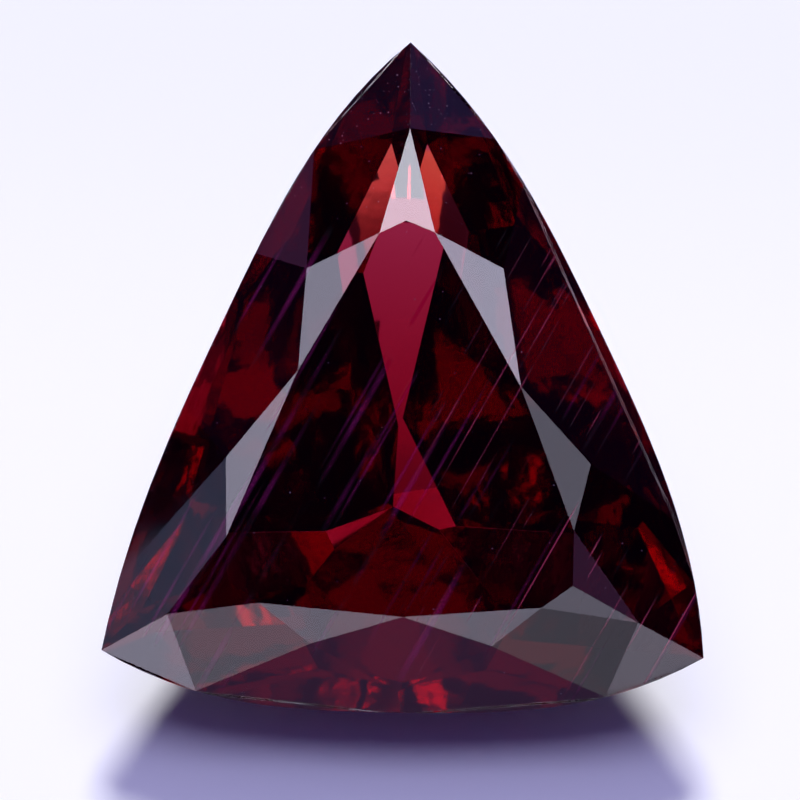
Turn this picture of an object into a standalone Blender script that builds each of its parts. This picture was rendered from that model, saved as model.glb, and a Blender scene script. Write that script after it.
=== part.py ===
"""Trillion cut spinel: one faceted stone lying on its lower pavilion facet.

The stone is first shaped level, with its girdle at height zero, the table facing up and the
top corner towards +Y. An upright block of the girdle outline is cut facet by facet, as a
cutter would grind it, and the finished stone is then tipped over onto the pavilion facet
that it rests on, so that the table faces -Y and up.
"""
import math
from dataclasses import dataclass

import bmesh
import bpy
from mathutils import Matrix, Vector

MM = 0.001

# Girdle outline: three corners joined by bowed sides, in millimetres.
WIDTH = 10.0
TOP_CORNER = Vector((0.0, 6.78))
LEFT_CORNER = Vector((-WIDTH / 2, -3.38))
RIGHT_CORNER = Vector((WIDTH / 2, -3.38))
LEFT_BOW = 0.68
BOTTOM_BOW = 0.97
RIGHT_BOW = 0.79
BOW_POWER = 3.0
LEFT_BOW_SKEW = 0.5
STEPS_PER_SIDE = 28

# Heights above and below the upper girdle edge, in millimetres.
TABLE_HEIGHT = 0.7
GIRDLE_THICKNESS = 0.28
PAVILION_DEPTH = 4.1

# Pavilion facets: places in millimetres, slopes from the girdle plane in degrees.
CULET = Vector((-0.19, -0.95))
LEFT_MAIN_SLOPE = 37.5
BOTTOM_MAIN_SLOPE = 41.0
RIGHT_MAIN_SLOPE = 38.5
CULET_FACET_AZIMUTH = 26.0
CULET_FACET_SLOPE = 31.5
CULET_FACET_END = Vector((-0.03, 0.5))
ARM_FACET_START = Vector((-0.26, -0.99))
ARM_FACET_SLOPE = 28.0
SIDE_BREAK_SLOPE = 60.0
SIDE_BREAK_TURN = 8.0

STONE_COLOUR = (0.2, 0.005, 0.02, 1.0)


@dataclass
class Side:
    """One bowed side of the outline, with the crown meets that lie along it."""

    start: Vector
    end: Vector
    bow: float
    skew: float
    table_middle: Vector
    star_tips: tuple
    main_stretch: tuple
    kite_ends: tuple
    main_slope: float

    def along(self):
        return (self.end - self.start).normalized()

    def outward(self):
        direction = self.along()
        return Vector((direction.y, -direction.x))

    def girdle_point(self, share):
        """The outline's point above a share of the straight line between the two corners."""
        bulge = self.bow * (1 - abs(2 * share - 1) ** BOW_POWER)
        bulge *= 1 + self.skew * (0.5 - share)
        return self.start.lerp(self.end, share) + self.outward() * bulge


@dataclass
class Corner:
    """One corner of the outline, with the meets beside it on the crown and its keel below."""

    tip: Vector
    inner: Vector
    inner_rise: float
    table_before: Vector
    table_corner: Vector
    table_after: Vector
    keel_meet: Vector
    keel_slope: float
    break_turn: float
    break_slope: float


def stone_sides():
    left = Side(
        TOP_CORNER, LEFT_CORNER, LEFT_BOW, LEFT_BOW_SKEW,
        table_middle=Vector((-1.79, 1.31)),
        star_tips=(Vector((-1.675, 3.0)), Vector((-2.97, -0.15))),
        main_stretch=(0.364, 0.62), kite_ends=(0.204, 0.893), main_slope=LEFT_MAIN_SLOPE)
    bottom = Side(
        LEFT_CORNER, RIGHT_CORNER, BOTTOM_BOW, 0.0,
        table_middle=Vector((0.0, -2.75)),
        star_tips=(Vector((-1.53, -3.215)), Vector((1.48, -3.22))),
        main_stretch=(0.485, 0.515), kite_ends=(0.158, 0.838), main_slope=BOTTOM_MAIN_SLOPE)
    right = Side(
        RIGHT_CORNER, TOP_CORNER, RIGHT_BOW, 0.0,
        table_middle=Vector((1.9, 1.08)),
        star_tips=(Vector((3.08, -0.18)), Vector((1.59, 3.04))),
        main_stretch=(0.38, 0.62), kite_ends=(0.107, 0.819), main_slope=RIGHT_MAIN_SLOPE)
    return [left, bottom, right]


def stone_corners():
    """The corners in the order in which the sides start from them."""
    top = Corner(
        TOP_CORNER, inner=Vector((0.01, 5.34)), inner_rise=0.666, table_before=Vector((0.446, 3.617)),
        table_corner=Vector((-0.03, 3.81)), table_after=Vector((-0.474, 3.598)),
        keel_meet=Vector((-0.12, 0.42)), keel_slope=27.0,
        break_turn=24.0, break_slope=44.2)
    left = Corner(
        LEFT_CORNER, inner=Vector((-3.91, -2.76)), inner_rise=0.667, table_before=Vector((-2.943, -1.463)),
        table_corner=Vector((-2.91, -2.17)), table_after=Vector((-2.4, -2.546)),
        keel_meet=Vector((-0.98, -1.37)), keel_slope=37.0,
        break_turn=26.0, break_slope=50.0)
    right = Corner(
        RIGHT_CORNER, inner=Vector((3.9, -2.8)), inner_rise=0.675, table_before=Vector((2.285, -2.57)),
        table_corner=Vector((2.804, -2.2)), table_after=Vector((2.81, -1.289)),
        keel_meet=Vector((0.68, -1.44)), keel_slope=37.0,
        break_turn=26.0, break_slope=50.0)
    return [top, left, right]


def raised(point, height):
    return Vector((point.x, point.y, height))


def plane_through(first, second, third, upward):
    """A plane as a point and its outward normal, which faces up on the crown and down below."""
    normal = (second - first).cross(third - first).normalized()
    if (normal.z > 0) != upward:
        normal.negate()
    return first, normal


def plane_leaning(point, azimuth, slope_degrees):
    """A pavilion plane through a point, facing the azimuth and down, at a slope to the girdle."""
    slope = math.radians(slope_degrees)
    flat = Vector((azimuth.x, azimuth.y, 0)).normalized() * math.sin(slope)
    return point, flat - Vector((0, 0, math.cos(slope)))


def height_on(plane, point):
    """How high a sloping plane stands above a point of the girdle plane."""
    origin, normal = plane
    return origin.z - (normal.x * (point.x - origin.x) + normal.y * (point.y - origin.y)) / normal.z


def outline_points(sides):
    points = []
    for side in sides:
        for step in range(STEPS_PER_SIDE):
            points.append(side.girdle_point(step / STEPS_PER_SIDE))
    return points


def turned(direction, degrees):
    angle = math.radians(degrees)
    return Vector((direction.x * math.cos(angle) - direction.y * math.sin(angle),
                   direction.x * math.sin(angle) + direction.y * math.cos(angle)))


def crown_planes(sides, corners):
    """The table, mains, stars, kites, corner facets and girdle facets of the crown."""
    planes = [(Vector((0, 0, TABLE_HEIGHT)), Vector((0, 0, 1)))]
    for index, side in enumerate(sides):
        here, there = corners[index], corners[(index + 1) % len(corners)]
        middle = raised(side.table_middle, TABLE_HEIGHT)
        tips = []
        ends = ((here, here.table_after), (there, there.table_before))
        for (corner, table_point), tip, kite_share, main_share in zip(
                ends, side.star_tips, side.kite_ends, side.main_stretch):
            inner = raised(corner.inner, corner.inner_rise * TABLE_HEIGHT)
            edge = raised(table_point, TABLE_HEIGHT)
            table_corner = raised(corner.table_corner, TABLE_HEIGHT)
            kite_end = raised(side.girdle_point(kite_share), 0)
            main_end = raised(side.girdle_point(main_share), 0)
            kite = plane_through(edge, inner, kite_end, True)
            star_tip = raised(tip, height_on(kite, tip))
            tips.append(star_tip)
            planes.append(kite)
            planes.append(plane_through(edge, middle, star_tip, True))
            planes.append(plane_through(star_tip, kite_end, main_end, True))
            planes.append(plane_through(inner, table_corner, edge, True))
            planes.append(plane_through(inner, kite_end, raised(corner.tip, 0), True))
        planes.append(plane_through(middle, tips[0], tips[1], True))
    return planes


def pavilion_planes(sides, corners, outline):
    """The mains that meet at the culet, the keel facets and the steeper break facets.

    The culet facet and the narrow arm facet beside it soften the point on two of its ridges.
    """
    culet = raised(CULET, -GIRDLE_THICKNESS - PAVILION_DEPTH)
    left, bottom, right = sides
    culet_facet = plane_leaning(culet, turned(Vector((1, 0)), CULET_FACET_AZIMUTH), CULET_FACET_SLOPE)
    end = raised(CULET_FACET_END, height_on(culet_facet, CULET_FACET_END))
    left_main = plane_leaning(culet, left.outward(), left.main_slope)
    bottom_main = plane_leaning(culet, bottom.outward(), bottom.main_slope)
    right_main = plane_leaning(end, right.outward(), right.main_slope)
    arm_start = raised(ARM_FACET_START, height_on(left_main, ARM_FACET_START))
    arm_facet = plane_leaning(arm_start, corners[1].tip - CULET, ARM_FACET_SLOPE)
    planes = [culet_facet, arm_facet, left_main, bottom_main, right_main]
    for corner, main in zip(corners, (left_main, left_main, bottom_main)):
        start = raised(corner.keel_meet, height_on(main, corner.keel_meet))
        planes.append(plane_leaning(start, corner.tip - CULET, corner.keel_slope))
    for index, side in enumerate(sides):
        here, there = corners[index], corners[(index + 1) % len(corners)]
        breaks = ((-here.break_turn, here.break_slope), (-SIDE_BREAK_TURN, SIDE_BREAK_SLOPE),
                  (SIDE_BREAK_TURN, SIDE_BREAK_SLOPE), (there.break_turn, there.break_slope))
        for degrees, slope in breaks:
            azimuth = turned(side.outward(), degrees)
            reach = max(outline, key=azimuth.dot)
            planes.append(plane_leaning(raised(reach, -GIRDLE_THICKNESS), azimuth, slope))
    return planes


def girdle_block(outline):
    """An upright block of the outline, from below the culet to above the table."""
    shape = bmesh.new()
    bottom = -GIRDLE_THICKNESS - PAVILION_DEPTH - 1.0
    height = TABLE_HEIGHT + 1.0 - bottom
    rim = [shape.verts.new(raised(point, bottom)) for point in outline]
    face = shape.faces.new(rim)
    lifted = bmesh.ops.extrude_face_region(shape, geom=[face])["geom"]
    verts = [item for item in lifted if isinstance(item, bmesh.types.BMVert)]
    bmesh.ops.translate(shape, vec=Vector((0, 0, height)), verts=verts)
    bmesh.ops.recalc_face_normals(shape, faces=shape.faces)
    return shape


def grind(shape, plane):
    """Cuts away what lies outside a plane and closes the cut with one flat facet."""
    origin, normal = plane
    everything = list(shape.verts) + list(shape.edges) + list(shape.faces)
    cut = bmesh.ops.bisect_plane(shape, geom=everything, plane_co=origin, plane_no=normal,
                                 clear_outer=True, dist=1e-5)["geom_cut"]
    edges = [item for item in cut if isinstance(item, bmesh.types.BMEdge)]
    if edges:
        bmesh.ops.holes_fill(shape, edges=edges)


def stone_finish():
    finish = bpy.data.materials.new("spinel")
    finish.use_nodes = True
    shader = finish.node_tree.nodes["Principled BSDF"]
    shader.inputs["Base Color"].default_value = STONE_COLOUR
    shader.inputs["Roughness"].default_value = 0.05
    shader.inputs["Metallic"].default_value = 0.0
    return finish


def build_stone(collection):
    sides, corners = stone_sides(), stone_corners()
    outline = outline_points(sides)
    shape = girdle_block(outline)
    for plane in crown_planes(sides, corners) + pavilion_planes(sides, corners, outline):
        grind(shape, plane)
    tip_over = Matrix.Rotation(math.radians(BOTTOM_MAIN_SLOPE), 4, "X")
    shape.transform(Matrix.Scale(MM, 4) @ tip_over)
    lows = [min(vert.co[axis] for vert in shape.verts) for axis in range(3)]
    highs = [max(vert.co[axis] for vert in shape.verts) for axis in range(3)]
    middle = Vector(((lows[0] + highs[0]) / 2, (lows[1] + highs[1]) / 2, lows[2]))
    shape.transform(Matrix.Translation(-middle))
    mesh = bpy.data.meshes.new("spinel")
    shape.to_mesh(mesh)
    shape.free()
    mesh.materials.append(stone_finish())
    stone = bpy.data.objects.new("spinel", mesh)
    collection.objects.link(stone)
    return stone


def main():
    for item in list(bpy.data.objects):
        bpy.data.objects.remove(item, do_unlink=True)
    collection = bpy.data.collections.new("trillion_cut_spinel")
    bpy.context.scene.collection.children.link(collection)
    build_stone(collection)


main()
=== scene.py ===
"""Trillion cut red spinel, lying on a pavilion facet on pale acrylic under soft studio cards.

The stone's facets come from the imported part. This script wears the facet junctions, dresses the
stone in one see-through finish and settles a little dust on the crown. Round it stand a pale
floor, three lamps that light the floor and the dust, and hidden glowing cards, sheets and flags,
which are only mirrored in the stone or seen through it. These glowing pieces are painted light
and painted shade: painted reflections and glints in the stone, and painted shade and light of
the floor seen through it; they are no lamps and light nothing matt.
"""
import logging
import math
from dataclasses import dataclass
from enum import Enum

import bmesh
import bpy
from mathutils import Matrix, Vector

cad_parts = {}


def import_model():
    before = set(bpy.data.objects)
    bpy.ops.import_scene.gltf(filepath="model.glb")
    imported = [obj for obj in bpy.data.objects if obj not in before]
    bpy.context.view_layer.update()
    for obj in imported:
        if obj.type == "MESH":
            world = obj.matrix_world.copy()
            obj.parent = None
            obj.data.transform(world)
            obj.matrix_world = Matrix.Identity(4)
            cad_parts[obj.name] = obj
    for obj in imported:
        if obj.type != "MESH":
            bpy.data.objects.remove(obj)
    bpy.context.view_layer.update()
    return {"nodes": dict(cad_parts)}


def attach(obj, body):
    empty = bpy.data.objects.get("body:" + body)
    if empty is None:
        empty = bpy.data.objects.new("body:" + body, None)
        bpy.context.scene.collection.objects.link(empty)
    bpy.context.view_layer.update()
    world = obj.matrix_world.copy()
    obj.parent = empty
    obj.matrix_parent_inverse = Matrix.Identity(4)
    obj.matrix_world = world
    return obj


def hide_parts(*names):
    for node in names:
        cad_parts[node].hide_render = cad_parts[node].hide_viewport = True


MM = 0.001
WHITE = (1.0, 1.0, 1.0, 1.0)
STONE_NODE = "spinel"
STONE_BODY = "root"
TABLE_TILT = math.radians(41.0)
TABLE_FACING = (0.0, -math.sin(TABLE_TILT), math.cos(TABLE_TILT))
GIRDLE_OFFSET = 3.6255 * MM
CROWN_MIDDLE = (0.0, 0.0, 4.0 * MM)
CROWN_FRONT = (0.0, -3.5 * MM, 2.5 * MM)
log = logging.getLogger("spinel")


class Zone(Enum):
    """The parts of the stone's skin that are worked differently."""

    POLISHED = 0.0
    GROUND = 1.0


class NodeBench:
    """Adds nodes to one node tree and wires them together."""

    def __init__(self, tree: bpy.types.NodeTree) -> None:
        """Take the tree that the nodes go into."""
        self.tree = tree

    def add(self, kind: str, settings: dict | None = None, **inputs: object) -> bpy.types.Node:
        """Add one node.

        Args:
            kind: The node's Blender type.
            settings: Attributes to set on the node, by name.
            **inputs: Socket values or output sockets, by the input's name with _ for a space.

        Returns:
            The new node.
        """
        node = self.tree.nodes.new(kind)
        for name, value in (settings or {}).items():
            setattr(node, name, value)
        for name, value in inputs.items():
            self.feed(node.inputs[name.replace("_", " ")], value)
        return node

    def feed(self, socket: bpy.types.NodeSocket, value: object) -> None:
        """Wire an output to a socket, or set the socket's own value.

        Args:
            socket: The input socket.
            value: An output socket, or a plain value.
        """
        if isinstance(value, bpy.types.NodeSocket):
            self.tree.links.new(value, socket)
        else:
            socket.default_value = value

    def math(self, operation: str, first: object, second: object = 0.0) -> bpy.types.NodeSocket:
        """Join two numbers by one operation.

        Args:
            operation: The Math node's operation.
            first: The first number or output socket.
            second: The second number or output socket.

        Returns:
            The result's socket.
        """
        node = self.add("ShaderNodeMath", {"operation": operation})
        self.feed(node.inputs[0], first)
        self.feed(node.inputs[1], second)
        return node.outputs[0]

    def ramp(self, value: object, low: float, high: float, start: float = 0.0,
             end: float = 1.0) -> bpy.types.NodeSocket:
        """Carry a number smoothly from one range to another, held at both ends.

        Args:
            value: The number's output socket.
            low: Where the ramp starts.
            high: Where the ramp ends.
            start: The result at and before the start.
            end: The result at and after the end.

        Returns:
            The result's socket.
        """
        node = self.add("ShaderNodeMapRange", {"interpolation_type": "SMOOTHSTEP"})
        for name, given in (("Value", value), ("From Min", low), ("From Max", high),
                            ("To Min", start), ("To Max", end)):
            self.feed(node.inputs[name], given)
        return node.outputs["Result"]

    def noise(self, place: object, scale: float, detail: float) -> bpy.types.NodeSocket:
        """Make cloudy noise.

        Args:
            place: The coordinates' output socket.
            scale: Clouds per unit of the coordinates.
            detail: How many finer layers are added.

        Returns:
            The noise's socket, from 0 to 1.
        """
        node = self.add("ShaderNodeTexNoise", Vector=place, Scale=scale, Detail=detail)
        return node.outputs["Fac"]

    def place(self) -> bpy.types.NodeSocket:
        """Give the coordinates of the object that wears the material."""
        return self.add("ShaderNodeTexCoord").outputs["Object"]

    def apart(self, vector: object) -> bpy.types.bpy_prop_collection:
        """Take coordinates apart into outputs named X, Y and Z."""
        return self.add("ShaderNodeSeparateXYZ", Vector=vector).outputs

    def blend(self, share: object, first: object, second: object) -> bpy.types.NodeSocket:
        """Blend two colours.

        Args:
            share: The second colour's share.
            first: The first colour, or its output socket.
            second: The second colour, or its output socket.

        Returns:
            The blended colour's socket.
        """
        node = self.add("ShaderNodeMix", {"data_type": "RGBA"})
        factor, colour_a, colour_b = node.inputs[0], node.inputs[6], node.inputs[7]
        for socket, value in ((factor, share), (colour_a, first), (colour_b, second)):
            self.feed(socket, value)
        return node.outputs[2]

    def bump(self, height: object) -> bpy.types.NodeSocket:
        """Turn a height in metres into a normal."""
        return self.add("ShaderNodeBump", Strength=1.0, Distance=1.0,
                        Height=height).outputs["Normal"]

    def unscattered(self, glow: object) -> bpy.types.NodeSocket:
        """Keep a glow for mirrored and bent light, so that it throws none on matt things.

        Args:
            glow: The glow's strength or output socket.

        Returns:
            The kept glow's socket.
        """
        scattered = self.add("ShaderNodeLightPath").outputs["Diffuse Depth"]
        return self.math("MULTIPLY", self.math("LESS_THAN", scattered, 0.5), glow)


@dataclass(frozen=True)
class Clouds:
    """Soft cloudy patches: their number to the unit, their fineness, and where they rise."""

    scale: float
    detail: float
    low: float
    high: float

    def drawn(self, bench: NodeBench, place: object, start: float = 0.0,
              end: float = 1.0) -> bpy.types.NodeSocket:
        """Draw the patches.

        Args:
            bench: The material's node bench.
            place: The coordinates' output socket.
            start: The value between the patches.
            end: The value in the patches.

        Returns:
            The patches' socket.
        """
        noise = bench.noise(place, self.scale, self.detail)
        return bench.ramp(noise, self.low, self.high, start, end)


@dataclass(frozen=True)
class Waves:
    """Low uneven waves in a surface: their number to the unit, fineness and height in metres."""

    scale: float
    detail: float
    height: float

    def drawn(self, bench: NodeBench, place: object) -> bpy.types.NodeSocket:
        """Draw the waves.

        Args:
            bench: The material's node bench.
            place: The coordinates' output socket.

        Returns:
            The socket of the waves' height.
        """
        return bench.math("MULTIPLY", bench.noise(place, self.scale, self.detail), self.height)


@dataclass(frozen=True)
class Strokes:
    """Straight strokes, tapered at both ends, side by side and end to end.

    The first two numbers are strokes per millimetre, across and along. The half width is a share
    of the room that a stroke has, and the shift makes two sets of strokes fall differently.
    """

    across: float
    along: float
    half_width: float
    shift: float
    strength: float = 1.0
    taper: float = 0.25

    def drawn(self, bench: NodeBench, slant: bpy.types.NodeSocket) -> bpy.types.NodeSocket:
        """Draw the strokes.

        Args:
            bench: The material's node bench.
            slant: Coordinates whose Y runs along the strokes, in millimetres.

        Returns:
            The socket of the strokes' strength.
        """
        room = bench.add("ShaderNodeMapping", {"vector_type": "POINT"}, Vector=slant,
                         Scale=(self.across, self.along, 0.0),
                         Location=(self.shift, self.shift, 0.0))
        cells = bench.add("ShaderNodeTexVoronoi", {"voronoi_dimensions": "2D"},
                          Vector=room.outputs["Vector"], Scale=1.0).outputs["Distance"]
        drawn = bench.ramp(cells, self.half_width * self.taper, self.half_width, 1.0, 0.0)
        return bench.math("MULTIPLY", drawn, self.strength)


@dataclass(frozen=True)
class SpinelFinish:
    """Clear deep red spinel: polished facets with fine wiping marks, and a ground girdle.

    Places and ranges are millimetres in level coordinates, where the table is level.
    """

    ior: float = 1.718
    depth_colour: tuple = (0.808, 0.0, 0.28, 1.0)
    depth_density: float = 1250.0
    zone_colours: tuple = (WHITE, (0.96, 0.9, 0.93, 1.0))
    zones: Clouds = Clouds(0.5, 2.0, 0.35, 0.7)
    girdle_edge: tuple = (-0.02, 0.0)
    polish: tuple = (0.02, 0.04)
    polish_clouds: Clouds = Clouds(1.4, 4.0, 0.3, 0.8)
    pavilion_polish: float = 0.06
    pavilion_waves: tuple = (Waves(0.9, 1.0, 14.0e-6), Waves(3.0, 1.0, 3.0e-6))
    ground_colour: tuple = (0.8, 0.7, 0.74, 1.0)
    ground: tuple = (0.285, 0.38)
    ground_clouds: Clouds = Clouds(14.0, 2.0, 0.2, 0.8)
    ground_grain: Waves = Waves(40.0, 2.0, 1.2e-6)
    mark_angle: float = math.radians(29.0)
    marks_end: tuple = (4.4, 5.6)
    marks_coloured: tuple = (0.0, 0.12)
    scratches: tuple = (Strokes(7.0, 0.06, 0.12, 0.3), Strokes(4.0, 0.2, 0.06, 5.7, 0.8))
    scratched_right: tuple = (-0.4, 1.8)
    scratch_patches: Clouds = Clouds(0.6, 1.0, 0.46, 0.66)
    scratch_colour: tuple = (1.0, 0.12, 0.27, 1.0)
    scratch_scatter: float = 0.42
    scratch_roughness: float = 0.05
    scratch_depth: float = 0.15e-6
    streaks: tuple = (Strokes(2.3, 0.055, 0.15, 9.1), Strokes(3.4, 0.07, 0.12, 2.4, 0.8))
    streaked_left: tuple = (0.0, 2.0)
    streak_right_share: float = 0.5
    streak_patches: Clouds = Clouds(0.6, 2.0, 0.4, 0.64)
    streak_colour: tuple = (0.8, 0.05, 0.42, 1.0)
    streak_scatter: float = 0.14

    def build(self) -> bpy.types.Material:
        """Build the finish.

        Returns:
            The stone's material.
        """
        material = bpy.data.materials.new("polished_spinel")
        material.use_nodes = True
        bench = NodeBench(material.node_tree)
        shader = material.node_tree.nodes["Principled BSDF"]
        output = material.node_tree.nodes["Material Output"]
        level = self.level_coordinates(bench)
        crown = bench.ramp(bench.apart(level)["Z"], *self.girdle_edge)
        below = bench.math("SUBTRACT", 1.0, crown)
        ground = bench.add("ShaderNodeAttribute", {"attribute_name": "ground"}).outputs["Fac"]
        scratches, streaks = self.marks(bench, level, crown)
        shader.inputs["IOR"].default_value = self.ior
        bench.feed(shader.inputs["Roughness"],
                   self.roughness(bench, level, below, scratches, ground))
        bench.feed(shader.inputs["Base Color"],
                   self.tint(bench, level, scratches, streaks, ground))
        bench.feed(shader.inputs["Transmission Weight"],
                   self.clearness(bench, scratches, streaks))
        bench.feed(shader.inputs["Normal"], self.relief(bench, level, below, ground, scratches))
        depth = bench.add("ShaderNodeVolumeAbsorption", Color=self.depth_colour,
                          Density=self.depth_density)
        bench.feed(output.inputs["Volume"], depth.outputs["Volume"])
        return material

    def level_coordinates(self, bench: NodeBench) -> bpy.types.NodeSocket:
        """Turn object coordinates so that the table is level, in millimetres.

        Args:
            bench: The material's node bench.

        Returns:
            The coordinates' socket, with height zero at the upper girdle edge.
        """
        turned = bench.add("ShaderNodeMapping", {"vector_type": "POINT"}, Vector=bench.place(),
                           Rotation=(-TABLE_TILT, 0.0, 0.0), Scale=(1 / MM, 1 / MM, 1 / MM),
                           Location=(0.0, 0.0, -GIRDLE_OFFSET / MM))
        return turned.outputs["Vector"]

    def marks(self, bench: NodeBench, level: bpy.types.NodeSocket,
              crown: bpy.types.NodeSocket) -> tuple:
        """Draw the wiping marks, which cross the crown at a slant and end below the top corner.

        Thin bright scratches lie mostly on the right, and broad faint streaks mostly on the left.

        Args:
            bench: The material's node bench.
            level: Level coordinates in millimetres.
            crown: One on the crown, zero below the girdle.

        Returns:
            The sockets of the scratches' and the streaks' strength, from 0 to 1.
        """
        slant = bench.add("ShaderNodeMapping", {"vector_type": "POINT"}, Vector=level,
                          Rotation=(0.0, 0.0, self.mark_angle)).outputs["Vector"]
        parts = bench.apart(level)
        marked = bench.math("MULTIPLY", crown, bench.ramp(parts["Y"], *self.marks_end, 1.0, 0.0))
        right = bench.ramp(parts["X"], *self.scratched_right)
        left = bench.ramp(parts["X"], *self.streaked_left, 1.0, self.streak_right_share)
        drawn = []
        for strokes, side, patches in ((self.scratches, right, self.scratch_patches),
                                       (self.streaks, left, self.streak_patches)):
            both = bench.math("MAXIMUM", *(kind.drawn(bench, slant) for kind in strokes))
            share = bench.math("MULTIPLY", side, patches.drawn(bench, level))
            drawn.append(bench.math("MULTIPLY", marked, bench.math("MULTIPLY", both, share)))
        return tuple(drawn)

    def clearness(self, bench: NodeBench, scratches: bpy.types.NodeSocket,
                  streaks: bpy.types.NodeSocket) -> bpy.types.NodeSocket:
        """Let a little light scatter at the marks, and let all the rest through.

        Args:
            bench: The material's node bench.
            scratches: The thin scratches' strength.
            streaks: The broad streaks' strength.

        Returns:
            The share of light let through.
        """
        lost = bench.math("MAXIMUM", bench.math("MULTIPLY", scratches, self.scratch_scatter),
                          bench.math("MULTIPLY", streaks, self.streak_scatter))
        return bench.math("SUBTRACT", 1.0, lost)

    def roughness(self, bench: NodeBench, level: bpy.types.NodeSocket, below: bpy.types.NodeSocket,
                  scratches: bpy.types.NodeSocket,
                  ground: bpy.types.NodeSocket) -> bpy.types.NodeSocket:
        """Set the polish, a little duller in patches, below the girdle and along the scratches.

        Args:
            bench: The material's node bench.
            level: Level coordinates in millimetres.
            below: One below the girdle, zero on the crown.
            scratches: The thin scratches' strength.
            ground: One on the ground girdle, zero elsewhere.

        Returns:
            The roughness's socket.
        """
        clean = self.polish_clouds.drawn(bench, level, *self.polish)
        pavilion = bench.math("MULTIPLY", below, self.pavilion_polish)
        scored = bench.math("MULTIPLY", scratches, self.scratch_roughness)
        polished = bench.math("MAXIMUM", bench.math("MAXIMUM", clean, pavilion), scored)
        grain = self.ground_clouds.drawn(bench, level, *self.ground)
        return bench.math("MAXIMUM", polished, bench.math("MULTIPLY", ground, grain))

    def tint(self, bench: NodeBench, level: bpy.types.NodeSocket, scratches: bpy.types.NodeSocket,
             streaks: bpy.types.NodeSocket,
             ground: bpy.types.NodeSocket) -> bpy.types.NodeSocket:
        """Let the colour vary a little in soft zones, tint the marks and grey the ground girdle.

        Args:
            bench: The material's node bench.
            level: Level coordinates in millimetres.
            scratches: The thin scratches' strength.
            streaks: The broad streaks' strength.
            ground: One on the ground girdle, zero elsewhere.

        Returns:
            The colour's socket.
        """
        clear = bench.blend(self.zones.drawn(bench, level), *self.zone_colours)
        wiped = bench.blend(bench.ramp(streaks, *self.marks_coloured), clear, self.streak_colour)
        scored = bench.blend(bench.ramp(scratches, *self.marks_coloured), wiped,
                             self.scratch_colour)
        return bench.blend(ground, scored, self.ground_colour)

    def relief(self, bench: NodeBench, level: bpy.types.NodeSocket, below: bpy.types.NodeSocket,
               ground: bpy.types.NodeSocket,
               scratches: bpy.types.NodeSocket) -> bpy.types.NodeSocket:
        """Wave the pavilion facets faintly, cut the scratches and grain the ground girdle.

        Args:
            bench: The material's node bench.
            level: Level coordinates in millimetres.
            below: One below the girdle, zero on the crown.
            ground: One on the ground girdle, zero elsewhere.
            scratches: The thin scratches' strength.

        Returns:
            The normal's socket.
        """
        waves = bench.math("ADD", *(kind.drawn(bench, level) for kind in self.pavilion_waves))
        pavilion = bench.math("MULTIPLY", waves, below)
        grain = bench.math("MULTIPLY", self.ground_grain.drawn(bench, level), ground)
        scored = bench.math("MULTIPLY", scratches, -self.scratch_depth)
        return bench.bump(bench.math("ADD", bench.math("ADD", pavilion, grain), scored))


@dataclass(frozen=True)
class DustFinish:
    """Fine grey household dust with a cool cast."""

    dark: tuple = (0.16, 0.11, 0.22, 1.0)
    pale: tuple = (0.5, 0.38, 0.6, 1.0)
    shades: Clouds = Clouds(3.0 / MM, 2.0, 0.35, 0.65)
    roughness: tuple = (0.8, 0.95)
    rough_patches: Clouds = Clouds(3.0 / MM, 2.0, 0.3, 0.7)
    fluff: Waves = Waves(60.0 / MM, 1.0, 1.0e-6)

    def build(self) -> bpy.types.Material:
        """Build the finish.

        Returns:
            The dust's material.
        """
        material = bpy.data.materials.new("settled_dust")
        material.use_nodes = True
        bench = NodeBench(material.node_tree)
        shader = material.node_tree.nodes["Principled BSDF"]
        place = bench.place()
        bench.feed(shader.inputs["Base Color"],
                   bench.blend(self.shades.drawn(bench, place), self.dark, self.pale))
        bench.feed(shader.inputs["Roughness"],
                   self.rough_patches.drawn(bench, place, *self.roughness))
        bench.feed(shader.inputs["Normal"], bench.bump(self.fluff.drawn(bench, place)))
        return material


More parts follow.
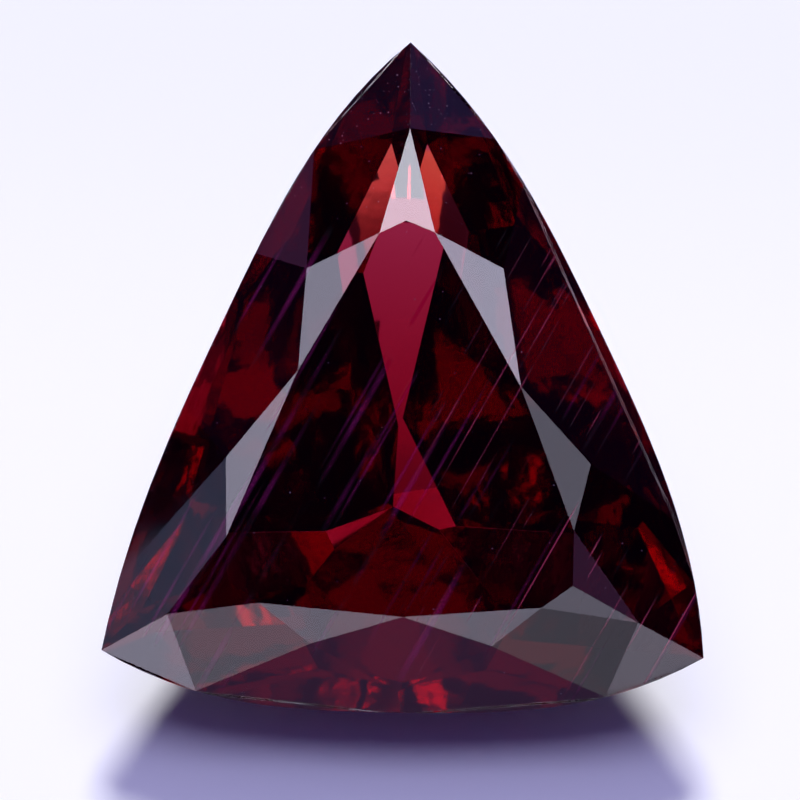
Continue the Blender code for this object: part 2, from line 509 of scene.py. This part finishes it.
@dataclass
class Stone:
    """The faceted stone, with the sizes of its worn facet junctions."""

    weld: float = 0.012 * MM
    sliver: float = 0.006 * MM
    junction_wear: float = 0.005 * MM
    wear_steps: int = 2
    flat_angle: float = math.radians(0.15)
    junction_angle: float = math.radians(2.6)
    girdle_slant: float = 0.08
    finish: SpinelFinish = SpinelFinish()

    def build(self, source: bpy.types.Object) -> bpy.types.Object:
        """Copy the facets, wear their junctions and dress the stone.

        Args:
            source: The part's own stone.

        Returns:
            The dressed stone.
        """
        shape = bmesh.new()
        shape.from_mesh(source.data)
        bmesh.ops.remove_doubles(shape, verts=shape.verts, dist=self.weld)
        bmesh.ops.dissolve_degenerate(shape, edges=shape.edges, dist=self.sliver)
        bmesh.ops.dissolve_limit(shape, angle_limit=self.flat_angle, verts=shape.verts,
                                 edges=shape.edges)
        self.mark_girdle(shape)
        self.wear(shape)
        bmesh.ops.triangulate(shape, faces=shape.faces)
        mesh = bpy.data.meshes.new("dressed_spinel")
        shape.to_mesh(mesh)
        shape.free()
        mesh.materials.append(self.finish.build())
        stone = bpy.data.objects.new("dressed_spinel", mesh)
        bpy.context.collection.objects.link(stone)
        return stone

    def mark_girdle(self, shape: bmesh.types.BMesh) -> None:
        """Mark the faces that stand square to the table as ground, and the rest as polished.

        Args:
            shape: The stone's facets.
        """
        mark = shape.faces.layers.float.new("ground")
        shape.normal_update()
        for face in shape.faces:
            girdle = abs(face.normal.dot(Vector(TABLE_FACING))) < self.girdle_slant
            face[mark] = (Zone.GROUND if girdle else Zone.POLISHED).value
            face.smooth = girdle

    def wear(self, shape: bmesh.types.BMesh) -> None:
        """Round every facet junction by a few thousandths of a millimetre.

        Args:
            shape: The stone's facets.
        """
        junctions = [edge for edge in shape.edges
                     if edge.is_manifold and edge.calc_face_angle() > self.junction_angle]
        made = bmesh.ops.bevel(shape, geom=junctions, offset=self.junction_wear,
                               offset_type="OFFSET", segments=self.wear_steps, profile=0.5,
                               affect="EDGES", clamp_overlap=True)
        for face in made["faces"]:
            face.smooth = True


@dataclass
class Dust:
    """Specks settled on the crown, thickest beside the top corner."""

    speck_radius: float = 0.0085 * MM
    smallest_share: float = 0.35
    specks_per_square_mm: float = 55.0
    spread: float = 2.0 * MM
    thick_until: float = 0.2
    thin_share: float = 0.02
    upward: float = 0.5
    seed: int = 11
    finish: DustFinish = DustFinish()

    def build(self, stone: bpy.types.Object) -> bpy.types.Object:
        """Settle the dust on the stone.

        Args:
            stone: The stone that the dust lies on.

        Returns:
            The dust as one plain mesh.
        """
        carrier = bpy.data.objects.new("dust_carrier", stone.data.copy())
        bpy.context.collection.objects.link(carrier)
        tree = self.tree(self.finish.build())
        modifier = carrier.modifiers.new("Settle", "NODES")
        modifier.node_group = tree
        top = max((vert.co for vert in stone.data.vertices), key=lambda point: point.z)
        values = {"Speck Radius": self.speck_radius, "Spread": self.spread,
                  "Density": self.specks_per_square_mm / (MM * MM), "Top Corner": top,
                  "Seed": self.seed}
        for item in tree.interface.items_tree:
            if item.name in values:
                modifier[item.identifier] = values[item.name]
        bpy.context.view_layer.update()
        result = carrier.evaluated_get(bpy.context.evaluated_depsgraph_get())
        mesh = bpy.data.meshes.new_from_object(result)
        mesh.name = "dust"
        bpy.data.objects.remove(carrier, do_unlink=True)
        dust = bpy.data.objects.new("dust", mesh)
        bpy.context.collection.objects.link(dust)
        return dust

    def tree(self, material: bpy.types.Material) -> bpy.types.NodeTree:
        """Build the tree that scatters the specks.

        Args:
            material: The specks' finish.

        Returns:
            The Geometry Nodes tree.
        """
        tree = bpy.data.node_groups.new("settle_dust", "GeometryNodeTree")
        sockets = (("Geometry", "NodeSocketGeometry"), ("Speck Radius", "NodeSocketFloat"),
                   ("Spread", "NodeSocketFloat"), ("Density", "NodeSocketFloat"),
                   ("Top Corner", "NodeSocketVector"), ("Seed", "NodeSocketInt"))
        for name, kind in sockets:
            tree.interface.new_socket(name, in_out="INPUT", socket_type=kind)
        tree.interface.new_socket("Geometry", in_out="OUTPUT", socket_type="NodeSocketGeometry")
        bench = NodeBench(tree)
        given = bench.add("NodeGroupInput").outputs
        scatter = bench.add("GeometryNodeDistributePointsOnFaces",
                            {"distribute_method": "RANDOM"}, Mesh=given["Geometry"],
                            Seed=given["Seed"], Density=self.density(bench, given))
        speck = bench.add("GeometryNodeMeshIcoSphere", Radius=given["Speck Radius"],
                          Subdivisions=1)
        size = bench.add("FunctionNodeRandomValue", {"data_type": "FLOAT"}, Seed=given["Seed"])
        smallest, largest = size.inputs[2], size.inputs[3]
        bench.feed(smallest, self.smallest_share)
        bench.feed(largest, 1.0)
        placed = bench.add("GeometryNodeInstanceOnPoints", Points=scatter.outputs["Points"],
                           Instance=speck.outputs["Mesh"], Scale=size.outputs[1],
                           Rotation=scatter.outputs["Rotation"])
        real = bench.add("GeometryNodeRealizeInstances", Geometry=placed.outputs[0])
        dressed = bench.add("GeometryNodeSetMaterial", Geometry=real.outputs[0],
                            Material=material)
        bench.add("NodeGroupOutput", Geometry=dressed.outputs[0])
        return tree

    def density(self, bench: NodeBench,
                given: bpy.types.bpy_prop_collection) -> bpy.types.NodeSocket:
        """Thin the specks out away from the top corner, and keep them off the pavilion.

        Args:
            bench: The tree's node bench.
            given: The tree's inputs.

        Returns:
            The socket of the specks' number to the square metre.
        """
        gap = bench.add("ShaderNodeVectorMath", {"operation": "DISTANCE"})
        bench.feed(gap.inputs[0], bench.add("GeometryNodeInputPosition").outputs[0])
        bench.feed(gap.inputs[1], given["Top Corner"])
        near = bench.math("DIVIDE", gap.outputs["Value"], given["Spread"])
        thick = bench.ramp(near, self.thick_until, 1.0, 1.0, self.thin_share)
        facing = bench.add("ShaderNodeVectorMath", {"operation": "DOT_PRODUCT"})
        bench.feed(facing.inputs[0], bench.add("GeometryNodeInputNormal").outputs[0])
        bench.feed(facing.inputs[1], TABLE_FACING)
        crown = bench.math("GREATER_THAN", facing.outputs["Value"], self.upward)
        share = bench.math("MULTIPLY", thick, crown)
        return bench.math("MULTIPLY", share, given["Density"])


@dataclass(frozen=True)
class Glow:
    """The painted light or shade of a hidden stand-in piece, even or changing with the distance
    from the front.
    """

    strengths: tuple
    tint: tuple
    span: tuple = (0.0, 1.0 * MM)

    def build(self, name: str) -> bpy.types.Material:
        """Build the glow.

        Args:
            name: The material's name.

        Returns:
            The glowing material.
        """
        material = bpy.data.materials.new(name)
        material.use_nodes = True
        tree = material.node_tree
        tree.nodes.remove(tree.nodes["Principled BSDF"])
        bench = NodeBench(tree)
        depth = bench.apart(bench.place())["Y"]
        strength = bench.unscattered(bench.ramp(depth, *self.span, *self.strengths))
        shine = bench.add("ShaderNodeEmission", Color=self.tint, Strength=strength)
        bench.feed(tree.nodes["Material Output"].inputs["Surface"], shine.outputs[0])
        return material


def hidden_piece(name: str, verts: list, faces: list, glow: Glow, mirrored: bool,
                 seen_through: bool) -> bpy.types.Object:
    """Make a glowing piece of painted light or shade that the camera itself does not see.

    Args:
        name: The piece's name.
        verts: Its corners.
        faces: Its faces, as places in the list of corners.
        glow: Its light.
        mirrored: Whether the stone's outside mirrors it.
        seen_through: Whether it is seen through the stone.

    Returns:
        The piece.
    """
    mesh = bpy.data.meshes.new(name)
    mesh.from_pydata(verts, [], faces)
    mesh.materials.append(glow.build(name))
    piece = bpy.data.objects.new(name, mesh)
    bpy.context.collection.objects.link(piece)
    piece.visible_camera = False
    piece.visible_diffuse = False
    piece.visible_shadow = False
    piece.visible_glossy = mirrored
    piece.visible_transmission = seen_through
    return piece


@dataclass(frozen=True)
class Card:
    """A curved card hung round the stone, placed by its directions as seen from the stone. Its
    glow is
    painted light: it shows only mirrored in the stone and seen through it, and lights nothing
    matt.

    Azimuths are degrees from the camera's side, to the right, and elevations are degrees up.
    """

    name: str
    azimuths: tuple
    elevations: tuple
    glow: float
    tint: tuple = (1.05, 1.0, 1.33, 1.0)
    reach: float = 300.0 * MM
    centre: tuple = CROWN_MIDDLE
    step: float = 5.0

    def build(self) -> bpy.types.Object:
        """Hang the card.

        Returns:
            The card.
        """
        left, right = self.azimuths
        steps = max(1, round((right - left) / self.step))
        verts, faces = [], []
        for step in range(steps + 1):
            azimuth = left + (right - left) * step / steps
            for elevation in self.elevations:
                verts.append(Vector(self.centre) + direction(azimuth, elevation) * self.reach)
            if step:
                base = 2 * step - 2
                faces.append((base, base + 1, base + 3, base + 2))
        glow = Glow((self.glow, self.glow), self.tint)
        return hidden_piece(self.name, verts, faces, glow, mirrored=True, seen_through=True)


@dataclass(frozen=True)
class Sheet:
    """A glowing sheet laid on the floor, seen either through the stone or mirrored in its outside.
    Its glow is painted shade or painted light of the floor, or a painted reflection in the stone.
    """

    name: str
    across: tuple
    along: tuple
    glow: Glow
    lift: float = 0.01 * MM
    mirrored: bool = False

    def build(self) -> bpy.types.Object:
        """Lay the sheet.

        Returns:
            The sheet.
        """
        (left, right), (near, far) = self.across, self.along
        verts = [(left, near, self.lift), (right, near, self.lift), (right, far, self.lift),
                 (left, far, self.lift)]
        return hidden_piece(self.name, verts, [(0, 1, 2, 3)], self.glow, mirrored=self.mirrored,
                            seen_through=not self.mirrored)


@dataclass(frozen=True)
class Flag:
    """A tiny level glowing flag held just behind the stone's upper end, seen only through the
    stone:
    the dim one is painted shade and the bright one a painted highlight.
    """

    name: str
    corners_mm: tuple
    glow: Glow
    height: float = 4.0 * MM

    def build(self) -> bpy.types.Object:
        """Hold the flag in place.

        Returns:
            The flag.
        """
        verts = [(across * MM, along * MM, self.height) for across, along in self.corners_mm]
        return hidden_piece(self.name, verts, [tuple(range(len(verts)))], self.glow,
                            mirrored=False, seen_through=True)


def direction(azimuth: float, elevation: float) -> Vector:
    """Give the direction of a place as seen from the stone.

    Args:
        azimuth: Degrees from the camera's side, to the right.
        elevation: Degrees above the floor.

    Returns:
        The direction, of length one.
    """
    turn, rise = math.radians(azimuth), math.radians(elevation)
    return Vector((math.sin(turn) * math.cos(rise), -math.cos(turn) * math.cos(rise),
                   math.sin(rise)))


@dataclass(frozen=True)
class Lamp:
    """A far lamp that lights the floor and the dust alone, with its soft width in degrees."""

    name: str
    strength: float
    azimuth: float
    elevation: float
    softness: float
    colour: tuple

    def build(self) -> bpy.types.Object:
        """Hang the lamp.

        Returns:
            The lamp.
        """
        light = bpy.data.lights.new(self.name, "SUN")
        light.energy = self.strength
        light.angle = math.radians(self.softness)
        light.color = self.colour
        lamp = bpy.data.objects.new(self.name, light)
        lamp.rotation_mode = "QUATERNION"
        away = direction(self.azimuth, self.elevation)
        lamp.rotation_quaternion = away.to_track_quat("Z", "Y")
        lamp.visible_glossy = False
        lamp.visible_transmission = False
        bpy.context.collection.objects.link(lamp)
        return lamp


@dataclass(frozen=True)
class Floor:
    """The plain pale acrylic, its colour painted a little darker and cooler towards the back as
    painted shade.
    """

    size: float = 3.0
    gap: float = 0.02 * MM
    colour: tuple = (0.91, 0.9, 0.93, 1.0)
    painted_far_shade_colour: tuple = (0.85, 0.85, 0.92, 1.0)
    fade: tuple = (3.0 * MM, 13.0 * MM)
    roughness: float = 0.2

    def build(self) -> bpy.types.Object:
        """Lay the floor a hair's breadth under the stone, clear of its resting facet.

        Returns:
            The floor.
        """
        half, low = self.size / 2, -self.gap
        mesh = bpy.data.meshes.new("floor")
        mesh.from_pydata([(-half, -half, low), (half, -half, low), (half, half, low),
                          (-half, half, low)], [], [(0, 1, 2, 3)])
        material = bpy.data.materials.new("pale_acrylic")
        material.use_nodes = True
        shader = material.node_tree.nodes["Principled BSDF"]
        bench = NodeBench(material.node_tree)
        # Painted shade: the floor's colour turns darker and cooler towards the back.
        far = bench.ramp(bench.apart(bench.place())["Y"], *self.fade)
        bench.feed(shader.inputs["Base Color"], bench.blend(far, self.colour, self.painted_far_shade_colour))
        shader.inputs["Roughness"].default_value = self.roughness
        shader.inputs["Specular IOR Level"].default_value = 0.0
        mesh.materials.append(material)
        floor = bpy.data.objects.new("floor", mesh)
        bpy.context.collection.objects.link(floor)
        return floor


@dataclass(frozen=True)
class Camera:
    """A long lens, pointed straight at the table and framed on the stone's two lower corners."""

    elevation: float = 49.0
    distance: float = 200.0 * MM
    roll: float = math.radians(0.76)
    lens: float = 542.0
    sensor: float = 36.0
    frame_pixels: float = 800.0
    corners_middle_pixel: tuple = (402.5, 654.0)
    clip: tuple = (0.01, 10.0)

    def build(self, stone: bpy.types.Object) -> bpy.types.Object:
        """Set up the camera.

        Args:
            stone: The dressed stone.

        Returns:
            The camera.
        """
        data = bpy.data.cameras.new("camera")
        data.lens = self.lens
        data.sensor_width = self.sensor
        data.clip_start, data.clip_end = self.clip
        camera = bpy.data.objects.new("camera", data)
        bpy.context.collection.objects.link(camera)
        back = direction(0.0, self.elevation)
        across = Vector((1.0, 0.0, 0.0))
        upward = back.cross(across)
        turn = Matrix.Rotation(self.roll, 3, back)
        across, upward = turn @ across, turn @ upward
        points = [vert.co for vert in stone.data.vertices]
        corners = (min(points, key=lambda point: point.x), max(points, key=lambda point: point.x))
        pixel = self.sensor * self.distance / (self.lens * self.frame_pixels)
        right, down = (place - self.frame_pixels / 2 for place in self.corners_middle_pixel)
        aim = (corners[0] + corners[1]) / 2 - across * right * pixel + upward * down * pixel
        place = Matrix((across, upward, back)).transposed().to_4x4()
        place.translation = aim + back * self.distance
        camera.matrix_world = place
        return camera


@dataclass
class Studio:
    """The pale floor, the lamps that light it, the hidden glowing pieces of painted light and
    shade, and the camera.
    """

    room_colour: tuple = (0.007, 0.0008, 0.015, 1.0)
    floor: Floor = Floor()
    camera: Camera = Camera()
    lamps: tuple = (
        Lamp("back_lamp", 3.37, 180.0, 43.5, 18.0, (0.986, 1.0, 0.985)),
        Lamp("overhead_lamp", 1.8, 180.0, 79.0, 56.0, (0.52, 0.52, 0.86)),
        Lamp("fill_lamp", 0.35, 0.0, 45.0, 90.0, (0.38, 0.26, 1.0)),
    )
    # Painted reflections and glints: glowing cards seen only mirrored in the stone or through it,
    # lighting nothing matt.
    cards: tuple = (
        Card("top_card", (-35.0, 35.0), (60.0, 74.0), 6.7, (0.99, 1.0, 1.16, 1.0)),
        Card("left_card", (-71.0, -61.0), (48.0, 60.0), 2.8),
        Card("left_middle_card", (-74.0, -67.0), (42.0, 47.9), 2.8),
        Card("left_low_card", (-75.0, -68.0), (30.0, 38.9), 0.4, (0.88, 0.95, 1.75, 1.0)),
        Card("left_rim_card", (-78.4, -75.1), (39.0, 44.4), 0.025, (1.0, 0.1, 1.5, 1.0)),
        Card("right_rim_card", (73.0, 84.0), (38.5, 44.5), 0.025, (1.0, 0.1, 1.5, 1.0)),
        Card("right_card", (62.0, 71.0), (48.0, 60.0), 4.1),
        Card("right_low_card", (62.0, 71.0), (42.3, 47.9), 1.2),
        Card("apex_right_card", (85.0, 98.0), (49.0, 60.0), 0.3, (0.5, 0.3, 1.2, 1.0)),
        Card("apex_left_card", (-98.0, -85.0), (49.0, 60.0), 0.07, (0.7, 0.3, 1.4, 1.0)),
        Card("left_edge_card", (-84.0, -78.5), (44.5, 48.9), 0.35, (1.0, 0.3, 1.0, 1.0)),
        Card("corner_card", (31.0, 37.0), (40.0, 44.0), 0.33, (0.86, 0.33, 1.0, 1.0)),
        Card("front_card", (-8.0, 8.0), (7.0, 18.0), 1.6),
        Card("front_left_card", (-26.0, -17.0), (-2.0, 12.0), 2.4, reach=70.0 * MM,
             centre=CROWN_FRONT),
        Card("inner_left_card", (-16.9, -7.2), (-2.0, 12.0), 1.05, reach=70.0 * MM,
             centre=CROWN_FRONT),
        Card("inner_right_card", (7.2, 16.9), (-2.0, 12.0), 0.6, reach=70.0 * MM,
             centre=CROWN_FRONT),
        Card("front_right_card", (17.0, 26.0), (-2.0, 12.0), 1.3, reach=70.0 * MM,
             centre=CROWN_FRONT),
        Card("violet_card", (-7.0, 7.0), (-6.0, 6.5), 0.3, (1.0, 0.5, 1.35, 1.0),
             reach=36.0 * MM, centre=CROWN_FRONT),
        Card("upper_right_card", (8.0, 25.0), (18.5, 33.0), 1.3),
        Card("zenith_card", (-180.0, 180.0), (77.0, 90.0), 0.9),
        Card("high_back_card", (100.0, 260.0), (50.5, 76.5), 1.2),
        Card("high_right_card", (44.0, 58.0), (50.5, 62.0), 1.8),
        Card("high_left_card", (-58.0, -44.0), (50.5, 62.0), 1.0),
        Card("back_card", (160.0, 200.0), (18.0, 40.0), 1.6),
        Card("back_left_card", (-260.0, -230.0), (25.0, 50.0), 0.9),
        Card("back_right_card", (100.0, 130.0), (25.0, 50.0), 0.9),
        Card("left_side_card", (-82.0, -52.0), (10.0, 27.0), 1.7),
        Card("left_floor_card", (-52.0, -30.0), (0.0, 10.0), 1.2),
        Card("right_floor_card", (30.0, 55.0), (0.0, 10.0), 1.2),
        Card("right_inner_card", (42.0, 58.0), (38.0, 50.0), 1.0),
        Card("left_inner_card", (-50.0, -40.0), (28.0, 40.0), 0.7),
    )
    # Painted shade and painted light of the floor seen through the stone, and painted reflections
    # mirrored in it.
    sheets: tuple = (
        # Painted shade: the floor under the stone, dimmer towards the front, seen through the
        # stone.
        Sheet("painted_floor_shade_sheet", (-4.0 * MM, 4.0 * MM), (1.35 * MM, 9.0 * MM),
              Glow((0.4, 0.62), (1.0, 1.1, 1.35, 1.0), (1.4 * MM, 2.8 * MM))),
        # Painted light: a warm glowing patch that gives an orange flash seen through the stone.
        Sheet("painted_warm_left_glow", (0.6 * MM, 1.7 * MM), (2.9 * MM, 4.1 * MM),
              Glow((0.4, 1.15), (1.0, 1.1, 0.45, 1.0), (3.15 * MM, 3.75 * MM)), 0.015 * MM),
        # Painted shade: a dim sheet that darkens the floor seen through the stone.
        Sheet("painted_shade_gap_sheet", (0.42 * MM, 0.6 * MM), (2.9 * MM, 3.6 * MM),
              Glow((0.06, 0.06), WHITE), 0.015 * MM),
        # Painted light: a warm glowing patch that gives an orange flash seen through the stone.
        Sheet("painted_warm_right_glow", (-1.7 * MM, -1.05 * MM), (2.9 * MM, 3.9 * MM),
              Glow((1.0, 1.25), (1.0, 1.1, 0.35, 1.0), (2.9 * MM, 3.6 * MM)), 0.015 * MM),
        # Painted shade: a dim sheet that darkens the floor seen through the stone.
        Sheet("painted_shade_right_sheet", (-1.05 * MM, -0.5 * MM), (2.9 * MM, 3.6 * MM),
              Glow((0.06, 0.06), WHITE), 0.015 * MM),
        # Painted shade: a dim sheet that darkens the floor seen through the stone.
        Sheet("painted_shade_left_sheet", (0.85 * MM, 1.7 * MM), (0.8 * MM, 1.34 * MM),
              Glow((0.15, 0.15), WHITE)),
        # Painted reflections: glowing sheets seen only mirrored in the stone's facets.
        Sheet("painted_violet_reflection_sheet", (-8.0 * MM, 8.0 * MM), (-50.0 * MM, -8.0 * MM),
              Glow((0.3, 0.3), (1.0, 0.5, 1.35, 1.0)), mirrored=True),
        Sheet("painted_pale_reflection_sheet", (9.0 * MM, 32.0 * MM), (-80.0 * MM, -30.0 * MM),
              Glow((1.4, 1.4), (1.1, 1.0, 1.3, 1.0)), mirrored=True),
    )
    # Painted shade and a painted pink highlight, seen only through the stone.
    flags: tuple = (
        Flag("painted_shade_flag", ((-0.095, 3.57), (0.155, 3.57), (0.1, 3.68), (0.135, 3.78),
                           (0.16, 3.85), (0.17, 4.25), (-0.2, 4.25), (-0.2, 3.87),
                           (-0.13, 3.87)), Glow((0.02, 0.02), WHITE)),
        Flag("painted_pink_glint_flag", ((-0.152, 3.57), (-0.095, 3.57), (-0.13, 3.87), (-0.152, 3.87)),
             Glow((3.4, 3.4), (1.0, 1.1, 0.6, 1.0))),
    )

    def build(self, stone: bpy.types.Object) -> None:
        """Set up everything round the stone.

        Args:
            stone: The dressed stone, which the camera is framed on.
        """
        for piece in (self.floor,) + self.cards + self.sheets + self.flags + self.lamps:
            piece.build()
        world = bpy.data.worlds.new("dim_room")
        world.use_nodes = True
        world.node_tree.nodes["Background"].inputs["Color"].default_value = self.room_colour
        bpy.context.scene.world = world
        bpy.context.scene.camera = self.camera.build(stone)
        bpy.context.scene.view_settings.view_transform = "Standard"


def main() -> None:
    """Load the part, dress it, settle the dust and set up the studio."""
    logging.basicConfig(level=logging.INFO, format="%(message)s")
    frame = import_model()
    stone = Stone().build(frame["nodes"][STONE_NODE])
    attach(stone, STONE_BODY)
    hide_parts(STONE_NODE)
    log.info("stone: %d triangles", len(stone.data.polygons))
    dust = Dust().build(stone)
    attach(dust, STONE_BODY)
    log.info("dust: %d triangles", len(dust.data.polygons))
    studio = Studio()
    studio.build(stone)
    log.info("studio: %d cards, %d sheets, %d flags, %d lamps", len(studio.cards),
             len(studio.sheets), len(studio.flags), len(studio.lamps))


if __name__ == "__main__":
    main()
